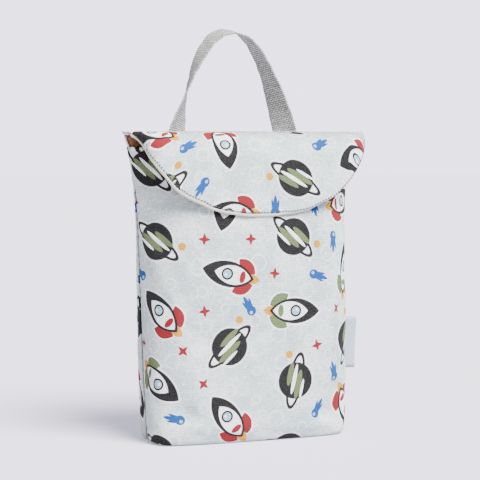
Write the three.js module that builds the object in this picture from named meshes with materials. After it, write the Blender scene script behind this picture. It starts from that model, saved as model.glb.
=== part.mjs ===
// A diaper storage bag: soft cloth walls on a flat base, a D-shaped flap, a webbing carry loop and a label in
// the side seam. Millimetres, +Z up, origin in the middle of the base. The front faces -Y.
import * as THREE from "three";

// Driving dimensions
const CROWN = 304; // top of the flap where it crosses the mouth
const BACK_RIM = 299; // top edge of the back panel, where the flap is sewn on
const FRONT_RIM = 289; // top edge of the front panel at the side seams
const FRONT_RIM_DIP = 4; // how much lower that edge hangs at the middle of the front
const BASE_ROUND = 6; // round between the walls and the base
const CLOTH = 1.8; // printed cloth with its backing
const LINING_CLOTH = 1.0;
const GAP = 0.4; // between two pieces that are sewn together
const LINING_GAP = 0.7; // between the lining and the printed cloth around it

const FLAP_CLOTH = 2.2; // two layers, turned and stitched
const FLAP_HALF_WIDTH = 130.5;
const FLAP_CORNER = 0.972; // share of the half-width where the rounded corner is cut off
const FLAP_DROP = 85.5; // crown to the lowest point of the hem
const FLAP_FRONT = 49; // how far in front of the side seams' tops the hem hangs at the middle

const STRAP_WIDTH = 25;
const STRAP_THICKNESS = 1.6;
const STRAP_EDGE = 0.4; // chamfer along the woven edges
const STRAP_FOOT = 58; // middle of the bag to the middle of each sewn end
const STRAP_LAP = { top: 286, bottom: 265 }; // heights between which each end is sewn to the back
const STRAP_SPRING = { y: 33.5, z: 306 }; // where the strap comes free above the flap
const STRAP_TOP = { y: 39, z: 405 };
const STRAP_ARCH = 2.3; // exponent of the loop's outline, 2 for a parabola
const STRAP_SWIRL = THREE.MathUtils.degToRad(7); // the top of the loop is turned a little about the vertical
const STRAP_TIP = 0.22; // and its front edge lies lower than its back edge, by this share of the width

const LABEL_HEIGHT = 53;
const LABEL_REACH = 23; // how far the folded label stands out of the seam
const LABEL_MIDDLE = 88.5; // height of its middle
const LABEL_TAPE = 0.45;
const LABEL_FOLD = 0.3; // half of the space between its two layers
const LABEL_SWING = THREE.MathUtils.degToRad(-5); // it leans a little to the front

// Cross-sections of the body, from the base up: half of the width at the side seams, the y of the front, the
// seams and the back, and how boxed the section is. A boxed section is a rounded rectangle. One that isn't is
// a lens that ends in a point at each seam.
const SECTIONS = [
  { z: 6, halfWidth: 101.5, front: -37, seam: 9, back: 35.5, boxed: 1.1 },
  { z: 60, halfWidth: 104, front: -40, seam: 11, back: 37, boxed: 1.03 },
  { z: 120, halfWidth: 106, front: -42, seam: 12, back: 38, boxed: 0.95 },
  { z: 180, halfWidth: 108.5, front: -43, seam: 11, back: 38, boxed: 0.8 },
  { z: 225, halfWidth: 112, front: -41, seam: 8, back: 37, boxed: 0.55 },
  { z: 260, halfWidth: 116.5, front: -33, seam: 4, back: 35, boxed: 0.3 },
  { z: 287, halfWidth: 121.5, front: -22, seam: 1, back: 33, boxed: 0.1 },
  { z: 300, halfWidth: 128, front: -18, seam: 0, back: 32, boxed: 0.0 },
];
const SECTION_COLUMNS = ["halfWidth", "front", "seam", "back", "boxed"];
const LENS = { breadth: 2, fullness: 1 };
const BOX = { breadth: 4.6, fullness: 0.21 };

// Soft dents pressed into the walls, placed by their middle and spread
const DENTS = [
  { side: "front", x: -38, z: 112, spreadX: 34, spreadZ: 52, depth: 2.0 },
  { side: "front", x: 46, z: 160, spreadX: 30, spreadZ: 46, depth: 1.6 },
  { side: "front", x: 78, z: 36, spreadX: 14, spreadZ: 20, depth: 3.0 },
  { side: "front", x: -74, z: 30, spreadX: 13, spreadZ: 16, depth: 2.2 },
  { side: "back", x: 30, z: 130, spreadX: 40, spreadZ: 60, depth: 2.5 },
  { side: "back", x: -56, z: 190, spreadX: 28, spreadZ: 40, depth: 1.8 },
];

// The flap's course from the back rim to its hem. Forward is a share of the way from back to front, lift a
// share of the rise from the rim to the crown, and drop a share of the fall from the crown to the hem.
const FLAP_COURSE = [
  { forward: 0.0, lift: 0.0, drop: 0.0 },
  { forward: 0.03, lift: 0.62, drop: 0.0 },
  { forward: 0.11, lift: 0.96, drop: 0.0 },
  { forward: 0.46, lift: 1.0, drop: 0.0 },
  { forward: 0.74, lift: 1.0, drop: 0.05 },
  { forward: 0.905, lift: 1.0, drop: 0.22 },
  { forward: 0.965, lift: 1.0, drop: 0.52 },
  { forward: 1.0, lift: 1.0, drop: 1.0 },
];
const HEM_CURVE = { breadth: 2.8, fullness: 1.12 }; // the hem's outline as seen from the front
const HEM_BOW = { breadth: 11, fullness: 1.2 }; // the hem's outline as seen from above

// The strap's quarter turn, from flat against the back to edge-on at the top of the loop
const STRAP_TURN = [
  { z: 265, turn: 14 },
  { z: 287, turn: 14 },
  { z: 305, turn: 34 },
  { z: 342, turn: 66 },
  { z: 378, turn: 84 },
  { z: 405, turn: 90 },
];

// Mesh steps
const SECTION_STEPS = 400; // for the even spacing of the wall's columns
const WALL_COLUMNS = 28;
const WALL_STEPS = { wall: 13, round: 3, base: 2 };
const FLAP_STEPS = { columns: 32, rows: 14 };
const FLAP_CROWDING = 1.33; // how much its columns crowd towards the corners, in radians
const STRAP_STEPS = 60;
const ARCH_STEPS = 12;
const LABEL_STEPS = 4;

// The two layers of the body. The lining ends a little below the rims.
const OUTER_LAYER = { inset: 0, thickness: CLOTH, lowered: 0 };
const INNER_LAYER = { inset: CLOTH + LINING_GAP, thickness: LINING_CLOTH, lowered: CLOTH };

const UP = new THREE.Vector3(0, 0, 1);

const sectionTrack = new THREE.CubicInterpolant(
  SECTIONS.map((section) => section.z),
  SECTIONS.flatMap((section) => SECTION_COLUMNS.map((column) => section[column])),
  SECTION_COLUMNS.length,
);

function sectionAt(z) {
  const values = sectionTrack.evaluate(z);
  return Object.fromEntries(SECTION_COLUMNS.map((column, i) => [column, values[i]]));
}

// The height of a curve that falls from 1 at the middle to 0 at both ends
function bowShare(position, { breadth, fullness }) {
  return Math.max(0, 1 - Math.abs(position) ** breadth) ** fullness;
}

function cornerAt(boxed) {
  return {
    breadth: THREE.MathUtils.lerp(LENS.breadth, BOX.breadth, boxed),
    fullness: THREE.MathUtils.lerp(LENS.fullness, BOX.fullness, boxed),
  };
}

// Half of a cross-section from the left seam to the right seam, drawn in by inset
class HalfSection extends THREE.Curve {
  constructor(side, z, inset) {
    super();
    const section = sectionAt(z);
    this.away = side === "front" ? -1 : 1;
    this.halfWidth = section.halfWidth - inset;
    this.depth = Math.abs(section[side] - section.seam) - inset;
    this.seam = section.seam + (this.away * GAP) / 2;
    this.corner = cornerAt(section.boxed);
    this.arcLengthDivisions = SECTION_STEPS;
  }

  getPoint(t, target = new THREE.Vector2()) {
    const turn = Math.PI * t;
    const across = Math.abs(Math.cos(turn)) ** (2 / this.corner.breadth);
    const out = Math.max(0, Math.sin(turn)) ** (2 * this.corner.fullness);
    const x = -Math.sign(Math.cos(turn)) * this.halfWidth * across;
    return target.set(x, this.seam + this.away * this.depth * out);
  }

  depthAt(x) {
    return this.seam + this.away * this.depth * bowShare(x / this.halfWidth, this.corner);
  }
}

function dentDepth(side, x, z) {
  const spread = (value, middle, width) => Math.exp(-(((value - middle) / width) ** 2));
  return DENTS.filter((dent) => dent.side === side).reduce(
    (sum, dent) => sum + dent.depth * spread(x, dent.x, dent.spreadX) * spread(z, dent.z, dent.spreadZ),
    0,
  );
}

// A point on the wall, part of the way along its half-section, with the dents
function wallPoint(side, along, z, inset, height = z) {
  const section = new HalfSection(side, z, inset);
  const point = section.getPointAt(along);
  const dent = dentDepth(side, point.x, height) * (1 - (point.x / section.halfWidth) ** 2);
  return new THREE.Vector3(point.x, point.y - section.away * dent, height);
}

function rimAt(side, along, lowered) {
  const dip = FRONT_RIM_DIP * (1 - (2 * along - 1) ** 2) ** 2;
  return (side === "front" ? FRONT_RIM - dip : BACK_RIM) - lowered;
}

// Rows of points down one side of the body: the wall, the round under it and its share of the base
function sideRows(side, inset, lowered) {
  const alongs = Array.from({ length: WALL_COLUMNS + 1 }, (_, i) => i / WALL_COLUMNS);
  const rows = [];
  for (let i = 0; i <= WALL_STEPS.wall; i++) {
    const down = i / WALL_STEPS.wall;
    const height = (along) => THREE.MathUtils.lerp(rimAt(side, along, lowered), BASE_ROUND, down);
    rows.push(alongs.map((along) => wallPoint(side, along, height(along), inset)));
  }
  const reach = BASE_ROUND - inset;
  for (let i = 1; i <= WALL_STEPS.round; i++) {
    const turn = ((Math.PI / 2) * i) / WALL_STEPS.round;
    const drawnIn = inset + reach * (1 - Math.cos(turn));
    const height = BASE_ROUND - reach * Math.sin(turn);
    rows.push(alongs.map((along) => wallPoint(side, along, BASE_ROUND, drawnIn, height)));
  }
  const edge = rows.at(-1);
  const seam = edge[0].y;
  const seamReach = edge.at(-1).x - BASE_ROUND;
  for (let i = 1; i <= WALL_STEPS.base; i++) {
    const row = edge.map((point, c) => {
      const x = THREE.MathUtils.lerp(-seamReach, seamReach, alongs[c]);
      return point.clone().lerp(new THREE.Vector3(x, seam, point.z), i / WALL_STEPS.base);
    });
    rows.push(row);
  }
  return rows;
}

// A closed wall between an outer and an inner grid of points, both [row][column]
function wallGeometry(outer, inner) {
  const rows = outer.length;
  const columns = outer[0].length;
  const outside = (row, column) => row * columns + column;
  const inside = (row, column) => rows * columns + row * columns + column;
  const index = [];
  const quad = (a, b, c, d) => index.push(a, b, c, a, c, d);
  for (let r = 0; r + 1 < rows; r++) {
    for (let c = 0; c + 1 < columns; c++) {
      const cell = [[r, c], [r + 1, c], [r + 1, c + 1], [r, c + 1]];
      // A cell is split from its first corner, and the two halves of the wall mirror each other.
      const [first, ...rest] = 2 * c < columns - 1 ? [...cell.slice(1), cell[0]] : cell;
      quad(...[first, ...rest].map((corner) => outside(...corner)));
      quad(...[first, ...rest.toReversed()].map((corner) => inside(...corner)));
    }
    const last = columns - 1;
    quad(outside(r, 0), inside(r, 0), inside(r + 1, 0), outside(r + 1, 0));
    quad(outside(r, last), outside(r + 1, last), inside(r + 1, last), inside(r, last));
  }
  for (let c = 0; c + 1 < columns; c++) {
    const last = rows - 1;
    quad(outside(0, c), outside(0, c + 1), inside(0, c + 1), inside(0, c));
    quad(outside(last, c), inside(last, c), inside(last, c + 1), outside(last, c + 1));
  }
  const geometry = new THREE.BufferGeometry().setFromPoints([...outer.flat(), ...inner.flat()]);
  geometry.setIndex(index);
  geometry.computeVertexNormals();
  return geometry;
}

// The back's columns are turned round, so that its outside faces away from the front.
function panelGeometry(side, { inset, thickness, lowered }) {
  const rows = [inset, inset + thickness].map((depth) => sideRows(side, depth, lowered));
  const inOrder = side === "front" ? rows : rows.map((grid) => grid.map((row) => row.toReversed()));
  return wallGeometry(...inOrder);
}

function flapColumn(x) {
  const position = x / FLAP_HALF_WIDTH;
  const backDepth = new HalfSection("back", BACK_RIM, 0).depthAt(x);
  const span = backDepth + FLAP_FRONT * bowShare(position, HEM_BOW);
  const fall = FLAP_DROP * bowShare(position, HEM_CURVE);
  const rim = BACK_RIM + GAP + FLAP_CLOTH;
  const course = new THREE.SplineCurve(
    FLAP_COURSE.map(({ forward, lift, drop }) => {
      const height = THREE.MathUtils.lerp(rim, CROWN, lift) - drop * fall;
      return new THREE.Vector2(backDepth - forward * span, height);
    }),
  );
  return course.getSpacedPoints(FLAP_STEPS.rows).map((point) => new THREE.Vector3(x, point.x, point.y));
}

// Moves every point of a grid along its own normal, towards the inside
function offsetGrid(grid, distance) {
  const lastRow = grid.length - 1;
  const lastColumn = grid[0].length - 1;
  return grid.map((row, r) =>
    row.map((point, c) => {
      const down = grid[Math.min(r + 1, lastRow)][c].clone().sub(grid[Math.max(r - 1, 0)][c]);
      const across = row[Math.min(c + 1, lastColumn)].clone().sub(row[Math.max(c - 1, 0)]);
      return point.clone().addScaledVector(down.cross(across).normalize(), -distance);
    }),
  );
}

function flapGeometry() {
  const columns = Array.from({ length: FLAP_STEPS.columns + 1 }, (_, i) => {
    const swing = Math.sin(FLAP_CROWDING * ((2 * i) / FLAP_STEPS.columns - 1)) / Math.sin(FLAP_CROWDING);
    return flapColumn(FLAP_HALF_WIDTH * FLAP_CORNER * swing);
  });
  const outer = columns[0].map((_, r) => columns.map((column) => column[r]));
  return wallGeometry(outer, offsetGrid(outer, FLAP_CLOTH));
}

// A closed bar through rings of points, with both ends filled
function barGeometry(rings) {
  const sides = rings[0].length;
  const index = [];
  rings.slice(1).forEach((_, r) => {
    for (let s = 0; s < sides; s++) {
      const [a, b] = [r * sides + s, r * sides + ((s + 1) % sides)];
      index.push(a, b, b + sides, a, b + sides, a + sides);
    }
  });
  const end = (rings.length - 1) * sides;
  for (let s = 1; s + 1 < sides; s++) {
    index.push(0, s + 1, s, end, end + s, end + s + 1);
  }
  const geometry = new THREE.BufferGeometry().setFromPoints(rings.flat());
  geometry.setIndex(index);
  geometry.computeVertexNormals();
  return geometry;
}

// The strap's middle line from the left sewn end over the loop to the right one
function strapCourse() {
  const clear = 2 * GAP + STRAP_THICKNESS / 2;
  const lap = [STRAP_LAP.bottom, (STRAP_LAP.bottom + STRAP_LAP.top) / 2, STRAP_LAP.top].map(
    (z) => new THREE.Vector3(STRAP_FOOT, new HalfSection("back", z, 0).depthAt(STRAP_FOOT) + clear, z),
  );
  const arch = Array.from({ length: ARCH_STEPS + 1 }, (_, i) => {
    const turn = ((Math.PI / 2) * i) / ARCH_STEPS;
    const rise = Math.sin(turn) ** 2;
    const x = STRAP_FOOT * Math.max(0, Math.cos(turn)) ** (2 / STRAP_ARCH);
    const y = THREE.MathUtils.lerp(STRAP_SPRING.y, STRAP_TOP.y, rise);
    return new THREE.Vector3(x, y, THREE.MathUtils.lerp(STRAP_SPRING.z, STRAP_TOP.z, rise));
  });
  const right = [...lap, ...arch];
  const left = right.slice(0, -1).map((point) => point.clone().setX(-point.x));
  return new THREE.CatmullRomCurve3([...left, ...right.toReversed()], false, "centripetal");
}

function strapGeometry() {
  const course = strapCourse();
  const turnTrack = new THREE.LinearInterpolant(
    STRAP_TURN.map(({ z }) => z),
    STRAP_TURN.map(({ turn }) => THREE.MathUtils.degToRad(turn)),
    1,
  );
  const [w, t, e] = [STRAP_WIDTH / 2, STRAP_THICKNESS / 2, STRAP_EDGE];
  const upper = [[w, t - e], [w - e, t], [e - w, t], [-w, t - e]];
  const corners = [...upper, ...upper.map(([u, v]) => [-u, -v])];
  const rings = Array.from({ length: STRAP_STEPS + 1 }, (_, i) => {
    const share = i / STRAP_STEPS;
    const middle = course.getPointAt(share);
    const along = course.getTangentAt(share);
    const [turn] = turnTrack.evaluate(middle.z);
    const hand = share < 0.5 ? -1 : 1;
    const rise = Math.max(0, (middle.z - STRAP_SPRING.z) / (STRAP_TOP.z - STRAP_SPRING.z));
    const across = new THREE.Vector3(hand * Math.cos(turn), -Math.sin(turn), -STRAP_TIP * rise);
    across.applyAxisAngle(UP, STRAP_SWIRL * rise);
    across.addScaledVector(along, -along.dot(across)).normalize();
    const face = along.clone().cross(across);
    return corners.map(([u, v]) => middle.clone().addScaledVector(across, u).addScaledVector(face, v));
  });
  return barGeometry(rings);
}

// The label is a tape folded back on itself, with the fold away from the seam.
function labelGeometry() {
  const outer = LABEL_FOLD + LABEL_TAPE;
  const bend = LABEL_REACH - outer;
  const outline = new THREE.Shape();
  outline.moveTo(0, -outer).lineTo(bend, -outer);
  outline.absarc(bend, 0, outer, -Math.PI / 2, Math.PI / 2, false);
  outline.lineTo(0, outer).lineTo(0, LABEL_FOLD).lineTo(bend, LABEL_FOLD);
  outline.absarc(bend, 0, LABEL_FOLD, Math.PI / 2, -Math.PI / 2, true);
  outline.lineTo(0, -LABEL_FOLD);
  const settings = { depth: LABEL_HEIGHT, steps: 1, bevelEnabled: false, curveSegments: LABEL_STEPS };
  return new THREE.ExtrudeGeometry(outline, settings).translate(0, 0, -LABEL_HEIGHT / 2);
}

const bag = new THREE.Group();

function addPiece(name, geometry, finish) {
  const piece = new THREE.Mesh(geometry, new THREE.MeshStandardMaterial({ metalness: 0, ...finish }));
  piece.name = name;
  bag.add(piece);
  return piece;
}

const printedCloth = { color: 0xd9dede, roughness: 0.8 };
const liningCloth = { color: 0xa9794e, roughness: 0.85 };
for (const side of ["front", "back"]) {
  addPiece(`${side}_panel`, panelGeometry(side, OUTER_LAYER), printedCloth);
  addPiece(`${side}_lining`, panelGeometry(side, INNER_LAYER), liningCloth);
}
addPiece("flap", flapGeometry(), printedCloth);
addPiece("handle", strapGeometry(), { color: 0xa5a5a3, roughness: 0.75 });

const label = addPiece("side_label", labelGeometry(), { color: 0xe6eaf0, roughness: 0.55 });
const labelSpan = [LABEL_MIDDLE - LABEL_HEIGHT / 2, LABEL_MIDDLE + LABEL_HEIGHT / 2];
const [wallLow, wallHigh] = labelSpan.map((z) => sectionAt(z).halfWidth);
label.position.set((wallLow + wallHigh) / 2 + GAP, sectionAt(LABEL_MIDDLE).seam, LABEL_MIDDLE);
label.rotation.set(0, Math.atan((wallHigh - wallLow) / LABEL_HEIGHT), LABEL_SWING, "YZX");

export default bag;
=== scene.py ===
# %% [markdown]
# # A diaper storage bag
# This lesson dresses a soft cloth bag. Its solids are already there as a fixed frame, in metres, and
# stay where they are. Every piece of cloth here is a flat grid that is laid on one of those solids, so
# it gets the solid's true shape. The grid's own flat places become its UV map, so the print and the
# weave follow the cloth.

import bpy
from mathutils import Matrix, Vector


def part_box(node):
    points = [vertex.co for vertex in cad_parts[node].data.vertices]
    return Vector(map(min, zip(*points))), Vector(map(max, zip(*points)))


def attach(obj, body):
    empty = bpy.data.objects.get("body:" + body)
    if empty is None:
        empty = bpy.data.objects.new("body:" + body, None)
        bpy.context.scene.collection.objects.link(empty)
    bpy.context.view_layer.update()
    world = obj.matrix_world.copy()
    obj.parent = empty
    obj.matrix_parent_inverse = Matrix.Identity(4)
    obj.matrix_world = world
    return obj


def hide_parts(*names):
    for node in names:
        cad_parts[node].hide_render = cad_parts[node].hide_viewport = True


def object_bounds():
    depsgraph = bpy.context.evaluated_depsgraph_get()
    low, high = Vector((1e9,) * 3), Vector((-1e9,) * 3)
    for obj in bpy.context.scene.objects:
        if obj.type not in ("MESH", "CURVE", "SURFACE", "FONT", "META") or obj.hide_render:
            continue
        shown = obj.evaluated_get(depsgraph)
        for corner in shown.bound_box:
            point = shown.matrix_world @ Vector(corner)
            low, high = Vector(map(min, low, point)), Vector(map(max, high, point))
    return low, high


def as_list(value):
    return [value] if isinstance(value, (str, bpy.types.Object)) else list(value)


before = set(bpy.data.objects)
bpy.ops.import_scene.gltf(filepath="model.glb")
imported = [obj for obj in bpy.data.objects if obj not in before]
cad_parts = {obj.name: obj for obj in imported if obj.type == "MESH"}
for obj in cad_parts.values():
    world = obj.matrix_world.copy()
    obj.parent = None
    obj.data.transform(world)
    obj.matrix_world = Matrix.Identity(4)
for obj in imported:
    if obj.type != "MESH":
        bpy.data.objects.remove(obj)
cad_box = [list(corner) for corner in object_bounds()]
print("solids:", sorted(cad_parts))

# %% [markdown]
# ## Tools
# bpy holds the scene, bmesh edits meshes, and mathutils has vectors, noise and trees that rays can
# search. A mesh shows only once an object carries it and a collection holds the object, so two small
# helpers do that.

# %% Tools and units
import math

import bmesh
import bpy
from mathutils import Matrix, Vector, noise
from mathutils.bvhtree import BVHTree

MM = 0.001


def placed(name, data):
    """A new object in the scene, at the origin."""
    thing = bpy.data.objects.new(name, data)
    bpy.context.scene.collection.objects.link(thing)
    return thing


def finished(name, form):
    """Turns a bmesh into a smooth object in the scene."""
    for face in form.faces:
        face.smooth = True
    mesh = bpy.data.meshes.new(name)
    form.to_mesh(mesh)
    form.free()
    return placed(name, mesh)


print("Blender", bpy.app.version_string)

# %% [markdown]
# ## Camera
# The bag was photographed from a little left of its front, from the height of its own top edge. A
# camera that far away has a long lens, which keeps the two sides nearly parallel. It is placed by an
# angle, a distance and a height, and then aimed at a point beside the bag's middle line.

# %% Camera
CAMERA_AZIMUTH = math.radians(-22)
CAMERA_DISTANCE = 1.65
CAMERA_HEIGHT = 0.2945
CAMERA_LENS = 124.5  # mm, on a sensor 36 mm wide
AIM_HEIGHT = 0.1963
AIM_SIDE = -0.004

camera = placed("camera", bpy.data.cameras.new("camera"))
bpy.context.scene.camera = camera
camera.data.lens = CAMERA_LENS
camera.location = (
    CAMERA_DISTANCE * math.sin(CAMERA_AZIMUTH),
    -CAMERA_DISTANCE * math.cos(CAMERA_AZIMUTH),
    CAMERA_HEIGHT,
)
camera_right = Vector((math.cos(CAMERA_AZIMUTH), math.sin(CAMERA_AZIMUTH), 0))
aim = Vector((0, 0, AIM_HEIGHT)) + camera_right * AIM_SIDE
camera.rotation_euler = (aim - camera.location).to_track_quat("-Z", "Y").to_euler()
print("camera at", tuple(round(x, 3) for x in camera.location))

# %% [markdown]
# ## Nodes
# Materials and the studio's light are graphs of nodes. A few helpers keep their code short: one feeds
# a node's sockets with values or with links from other sockets, one adds a node and feeds it, and one
# adds a sum. A socket knows the graph it is in, so a graph is named only where nothing is linked yet.

# %% Nodes
def feed(node, feeds):
    for key, value in feeds.items():
        if isinstance(value, bpy.types.NodeSocket):
            node.id_data.links.new(value, node.inputs[key])
        else:
            node.inputs[key].default_value = value


def put(kind, feeds=None, tree=None, **settings):
    """Adds a node to a graph, or to the one that its feeds are in, and gives its outputs."""
    feeds = feeds or {}
    linked = [value for value in feeds.values() if isinstance(value, bpy.types.NodeSocket)]
    node = (tree or linked[0].id_data).nodes.new("ShaderNode" + kind)
    for key, value in settings.items():
        setattr(node, key, value)
    feed(node, feeds)
    return node.outputs


def sums(operation, a, b=0.0):
    return put("Math", {0: a, 1: b}, operation=operation)[0]


def new_finish(name):
    """A new material, its graph and its shader."""
    material = bpy.data.materials.new(name)
    material.use_nodes = True
    return material, material.node_tree, material.node_tree.nodes["Principled BSDF"]


# %% [markdown]
# ## Paper
# The bag stands on pale studio paper. Paper pale enough for the picture would flood the bag with light
# from below, so its own colour is darker, and it glows a little to the camera alone, as if lamps of
# its own lit it.

# %% Paper
PAPER_SIZE = 12.0
PAPER_TONE = (0.52, 0.50, 0.585, 1)
PAPER_GLOW = 0.27
PAPER_GLOW_TONE = (1.0, 0.95, 1.5, 1)

paper_form = bmesh.new()
bmesh.ops.create_grid(paper_form, x_segments=2, y_segments=2, size=PAPER_SIZE)
paper = finished("paper", paper_form)

paper_finish, paper_tree, paper_shader = new_finish("pale_paper")
paper_seen = put("LightPath", tree=paper_tree)["Is Camera Ray"]
feed(paper_shader, {
    "Base Color": PAPER_TONE, "Roughness": 1.0, "Specular IOR Level": 0.0,
    "Emission Color": PAPER_GLOW_TONE, "Emission Strength": sums("MULTIPLY", paper_seen, PAPER_GLOW),
})
paper.data.materials.append(paper_finish)
print("paper", 2 * PAPER_SIZE, "m wide")

# %% [markdown]
# ## Light
# One large soft lamp, high in front and a little to the right, models the folds and throws the flap's
# shadow. An even light from all round keeps the shadows open. What lies behind the paper has the
# paper's tone for the camera, so no horizon shows.

# %% Key lamp
KEY_FROM = (0.22, -0.59, 0.78)
KEY_STRENGTH = 16.2
KEY_SPREAD = math.radians(32)

lamp = bpy.data.lights.new("key_lamp", "SUN")
lamp.energy = KEY_STRENGTH
lamp.angle = KEY_SPREAD
key_lamp = placed("key_lamp", lamp)
key_lamp.rotation_euler = (-Vector(KEY_FROM)).to_track_quat("-Z", "Y").to_euler()
print("key lamp from", KEY_FROM)

# %% Even light and backdrop
SKY_TONE = (1.0, 1.01, 0.94, 1)
SKY_STRENGTH = 1.08
BACKDROP = (2.98, 2.84, 3.62, 1)

world = bpy.data.worlds.new("studio")
bpy.context.scene.world = world
world.use_nodes = True
world_tree = world.node_tree
sky = world_tree.nodes["Background"]
feed(sky, {"Color": SKY_TONE, "Strength": SKY_STRENGTH})
behind = put("Background", {"Color": BACKDROP}, world_tree)
world_seen = put("LightPath", tree=world_tree)["Is Camera Ray"]
either = put("MixShader", {0: world_seen, 1: sky.outputs[0], 2: behind[0]})
feed(world_tree.nodes["World Output"], {"Surface": either[0]})
print("even light of", SKY_STRENGTH)

# %% [markdown]
# ## Measuring the solids
# A tailor measures a form with a tape. Here the tape is a ray that comes in from outside and stops at
# the first surface it meets, so each solid becomes a tree that rays can hit. More helpers measure along
# a line of points and spread points evenly on it, so that the cloth's threads keep an even pitch.

# %% Rays
FAR = 0.4  # where the rays start, outside the bag


def solid_form(node):
    form = bmesh.new()
    form.from_mesh(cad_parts[node].data)
    return form


def first_hit(tree, towards, direction):
    """Where a ray along direction first meets the solid on its way to a point, or None."""
    return tree.ray_cast(towards - direction * FAR, direction, FAR)[0]


trees = {node: BVHTree.FromBMesh(solid_form(node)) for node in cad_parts}

# %% Even spacing
TINY = 1e-9  # keeps a division by a length from failing


def running_lengths(points):
    lengths = [0.0]
    for a, b in zip(points, points[1:]):
        lengths.append(lengths[-1] + (b - a).length)
    return lengths


def even_steps(points, count):
    """Evenly spaced steps along a line: the length so far, the point before it and the way on."""
    lengths, i = running_lengths(points), 0
    for k in range(count + 1):
        want = lengths[-1] * k / count
        while i < len(points) - 2 and lengths[i + 1] < want:
            i += 1
        yield want, i, (want - lengths[i]) / max(lengths[i + 1] - lengths[i], TINY)


def spaced(points, count):
    """count + 1 points, evenly spaced along a line of points."""
    return [points[i].lerp(points[i + 1], way) for _, i, way in even_steps(points, count)]


def softened(line, rounds):
    """A line with its corners rounded off, as cloth rounds them. Its two ends stay."""
    for _ in range(rounds):
        inner = [(a + 2 * b + c) / 4 for a, b, c in zip(line, line[1:], line[2:])]
        line = [line[0], *inner, line[-1]]
    return line


print("half of a metre:", spaced([Vector((0, 0, 0)), Vector((1, 0, 0))], 2)[1].x)

# %% [markdown]
# ## Laying a flat cloth
# A sheet of cloth starts as a flat grid. Each of its vertices is told its place on the form and keeps
# its flat place, in millimetres, as a UV. Working the other way round, by unwrapping a finished shape,
# would tear the print at arbitrary edges. Solidify then gives the sheet its thickness, and creased
# edges keep Subdivision Surface from shrinking it.

# %% The cloth maker
EDGE_CREASE = 0.8
SMOOTH_LEVELS = 1


def lay_cloth(name, places, flats):
    """A grid of cloth: places[row][column] in metres, flats[row][column] in millimetres."""
    rows, columns = len(places) - 1, len(places[0]) - 1
    cloth = bmesh.new()
    bmesh.ops.create_grid(cloth, x_segments=columns, y_segments=rows, size=0.5)
    uv = cloth.loops.layers.uv.new("Cloth")
    cells = {v: (round((v.co.y + 0.5) * rows), round((v.co.x + 0.5) * columns)) for v in cloth.verts}
    for face in cloth.faces:
        for loop in face.loops:
            row, column = cells[loop.vert]
            loop[uv].uv = flats[row][column]
    for vert, (row, column) in cells.items():
        vert.co = places[row][column]
    return finished(name, cloth)


def add_thickness(piece, thickness, offset=-1.0, inner_finish=0):
    """Thickens a sheet. Its inner face's finish is inner_finish slots further on."""
    solidify = piece.modifiers.new("thickness", "SOLIDIFY")
    solidify.thickness = thickness
    solidify.offset = offset
    solidify.material_offset = inner_finish
    solidify.edge_crease_outer = solidify.edge_crease_inner = solidify.edge_crease_rim = EDGE_CREASE
    smooth = piece.modifiers.new("smooth", "SUBSURF")
    smooth.levels = smooth.render_levels = SMOOTH_LEVELS


print("cloth edges creased by", EDGE_CREASE)

# %% [markdown]
# ## The body's girths
# The body is a front and a back panel, sewn together at the sides and under the base. Each panel is
# measured at many heights: rays come in all round, and the seam is where they stop meeting one panel
# and start meeting the other. A loft through those girths would have no seam to sew, so the panels
# stay separate pieces.

# %% Walls and seams
AXIS_Y = 5 * MM  # inside the bag at every height
HALVINGS = 24
TRIAL_HEIGHT = 150 * MM


def wall_point(node, angle, z, inside):
    middle = Vector((0, AXIS_Y, z))
    outwards = Vector((math.cos(angle), math.sin(angle), 0))
    if inside:
        return trees[node].ray_cast(middle, outwards)[0]
    return first_hit(trees[node], middle, -outwards)


def seam_angle(node, z, away, inside):
    """Where rays on the +X side stop meeting a panel. The front is below 0 and the back above."""
    met, missed = away * math.pi / 2, -away * math.pi / 2
    for _ in range(HALVINGS):
        half = (met + missed) / 2
        if wall_point(node, half, z, inside):
            met = half
        else:
            missed = half
    return met


trial_seam = seam_angle("front_panel", TRIAL_HEIGHT, -1, False)
print("half way up, the right seam is at", round(math.degrees(trial_seam), 1), "degrees")

# %% Girths
BASE_ROUND = 6 * MM
SWEEP_STEPS = 180
PANEL_COLUMNS = 64
CORNER_ROUNDS = 3
FULLNESS = 1.3 * MM  # how far filled cloth stands out between its seams
FULL_PARTS = 6  # of the way across: it rises over the first part and falls over the last


def girth(node, z, away, inside=False):
    """Even points round a panel at one height, from its left to its right as seen from outside."""
    edge = seam_angle(node, max(z, BASE_ROUND), away, inside)
    other = away * math.pi - edge
    angles = [other + (edge - other) * k / SWEEP_STEPS for k in range(SWEEP_STEPS + 1)]
    line = [p for p in (wall_point(node, angle, z, inside) for angle in angles) if p]
    line = softened(spaced(line, PANEL_COLUMNS), CORNER_ROUNDS)
    if not inside:
        for c, point in enumerate(line):
            way = FULL_PARTS * c / PANEL_COLUMNS
            full = min(1.0, way, FULL_PARTS - way)
            point += (point - Vector((0, AXIS_Y, z))).normalized() * FULLNESS * full
    return line if away < 0 else line[::-1]


for node, away in (("front_panel", -1), ("back_panel", 1)):
    around = running_lengths(girth(node, TRIAL_HEIGHT, away))[-1]
    print(node, "half way up:", round(around, 3), "m round")

# %% [markdown]
# ## Panels as grids
# A panel's rows are its girths, a few more rows round the bottom edge, and four across the base to the
# seam under it. The top row is carried on from the last girth, because rays that just miss the rim
# find nothing. The front's rim dips at its middle, and the back's reaches up under the flap, which is
# sewn to it.

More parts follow.
